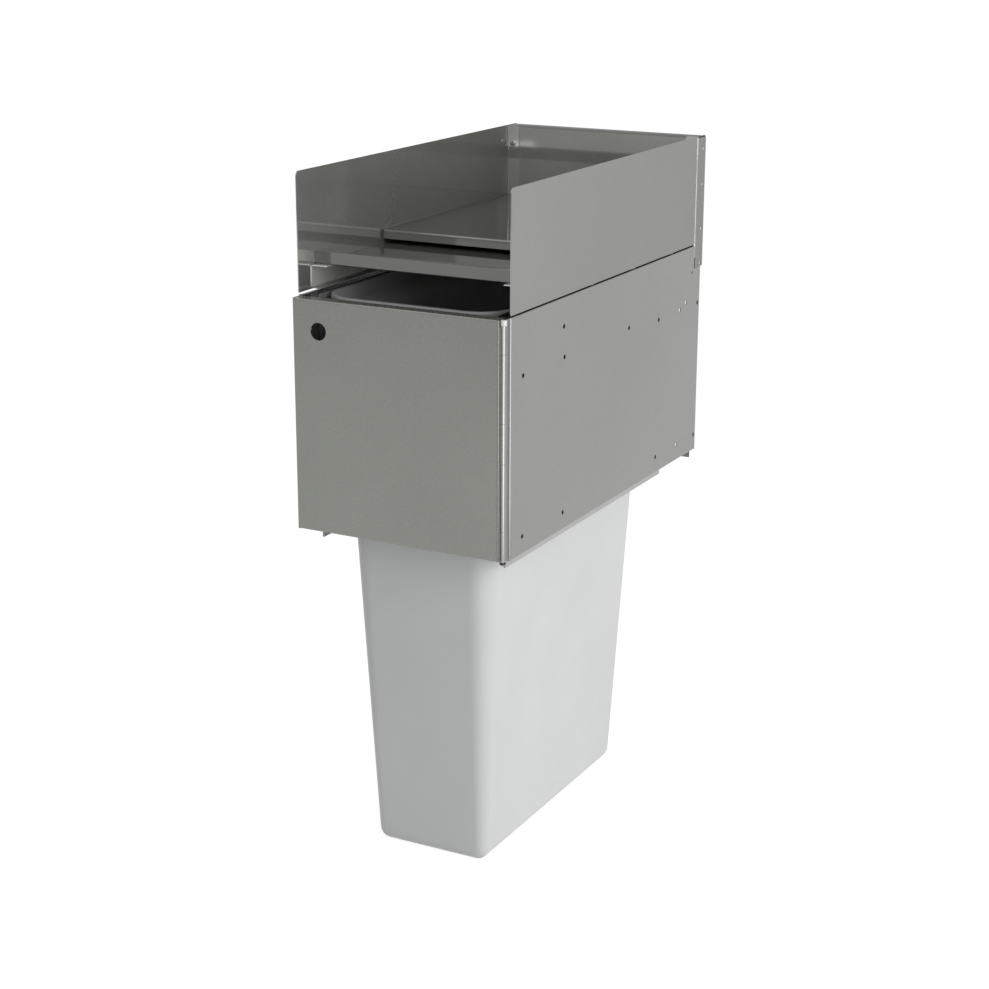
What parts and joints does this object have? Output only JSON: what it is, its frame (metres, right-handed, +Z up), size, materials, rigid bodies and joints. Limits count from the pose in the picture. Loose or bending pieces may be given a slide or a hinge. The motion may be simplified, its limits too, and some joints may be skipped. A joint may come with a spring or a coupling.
{
  "type": "underbar waste unit",
  "caption": "Narrow stainless underbar waste unit with splashes, work deck, raised shelf, hinged door and tall tapered bin, hung from its back and sides.",
  "frame": {"origin": "centre of the rear top rail's back face", "axes": "+X to the unit's right as seen from the front, -Y to the front with the door, +Z up"},
  "size_m": [0.3063, 0.625, 0.928],
  "materials": {
    "stainless": "fine grained satin",
    "bin_plastic": "fine texture",
    "white_plastic": "smooth",
    "black_plastic": "smooth",
    "rubber": "matt",
    "magnet": "sintered"
  },
  "bodies": {
    "cabinet": {"left_splash": "stainless", "right_splash": "stainless", "back_splash": "stainless", "deck_pan": "stainless", "left_deck_bracket": "stainless", "right_deck_bracket": "stainless", "splash_screws": "stainless", "bracket_screws": "stainless", "bracket_spacers": "stainless", "left_side_panel": "stainless", "right_side_panel": "stainless", "left_liner": "stainless", "right_liner": "stainless", "rear_liner": "stainless", "liner_rivets": "stainless", "left_bin_rail": "stainless", "right_bin_rail": "stainless", "rear_top_rail": "stainless", "rear_bottom_angle": "stainless", "body_hinge_leaf": "stainless", "hinge_pin": "stainless", "hinge_top_cap": "white_plastic", "hinge_bottom_washer": "black_plastic", "catch_magnet": "magnet", "catch_case": "black_plastic", "door_bumpers": "rubber"},
    "door": {"door_skin": "stainless", "door_back_panel": "stainless", "door_hinge_leaf": "stainless", "strike_plate": "stainless", "strike_rivets": "stainless"},
    "bin": {"bin": "bin_plastic"},
    "shelf": {"raised_shelf": "stainless"}
  },
  "joints": [
    {"name": "door_hinge", "type": "hinge", "parent": "cabinet", "child": "door", "pos_m": [0.1498, -0.614, -0.125], "axis": [0, 0, 1], "range_deg": [0, 110]},
    {"name": "bin_lift", "type": "slide", "parent": "cabinet", "child": "bin", "axis": [0, 0, 1], "range_m": [0, 0.025]},
    {"name": "shelf_lift", "type": "slide", "parent": "cabinet", "child": "shelf", "axis": [0, 0, 1], "range_m": [0, 0.12]}
  ]
}
